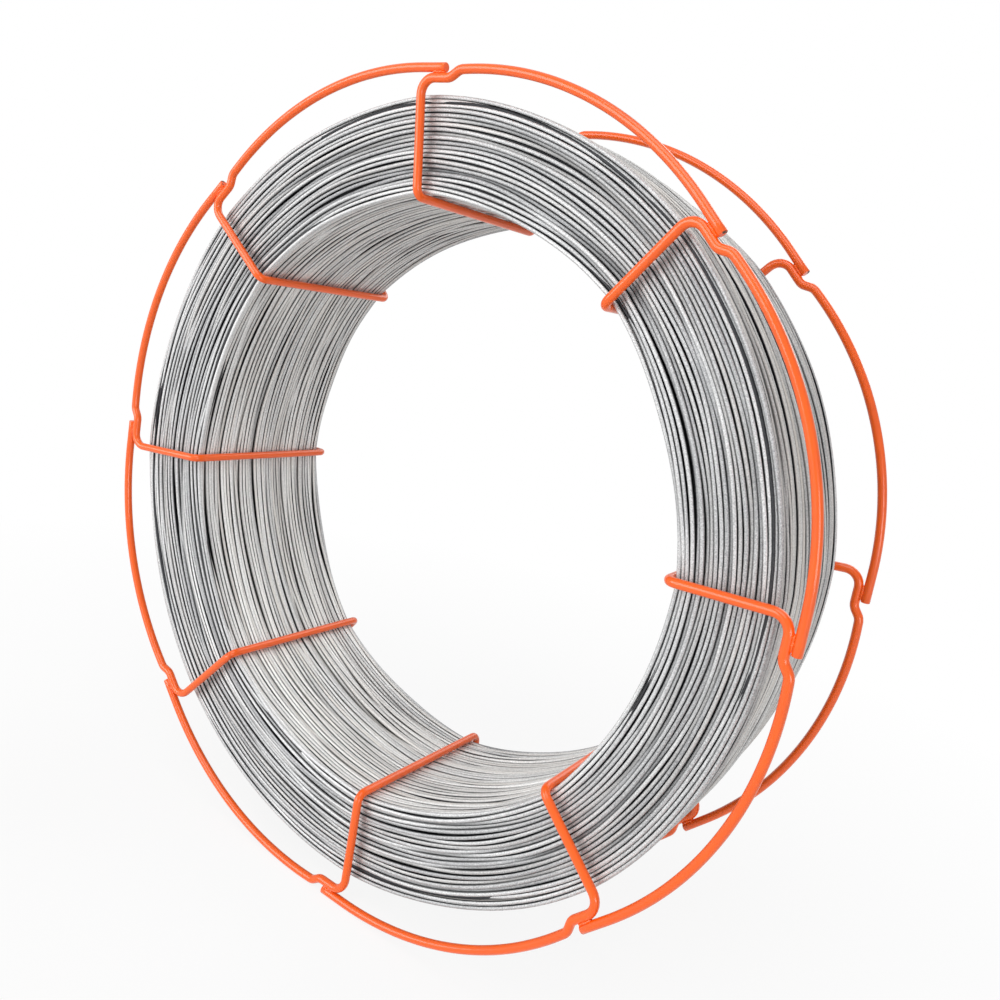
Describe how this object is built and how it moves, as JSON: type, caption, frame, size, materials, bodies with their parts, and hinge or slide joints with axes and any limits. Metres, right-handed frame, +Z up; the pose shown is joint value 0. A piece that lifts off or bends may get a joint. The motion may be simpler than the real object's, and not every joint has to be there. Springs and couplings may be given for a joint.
{
  "type": "coil of wire on a basket spool",
  "caption": "Coil of hard steel wire wound on an open basket spool of bent, painted and lap-welded rods, standing on its two lobed rims.",
  "frame": {"origin": "on the floor, under the middle of the spool", "axes": "+Z up, +Y along the spool's axis away from the viewer of the front end, +X to that viewer's right"},
  "size_m": [0.409, 0.1124, 0.409],
  "materials": {
    "paint": "gloss orange paint, with bare cut ends and small chips",
    "wire": "drawn and coated steel, matt light grey"
  },
  "bodies": {
    "root": {"basket_wire_1": "paint", "basket_wire_2": "paint", "basket_wire_3": "paint", "basket_wire_4": "paint", "basket_wire_5": "paint", "basket_wire_6": "paint", "basket_wire_7": "paint", "basket_wire_8": "paint", "wire_coil": "wire"}
  },
  "joints": []
}
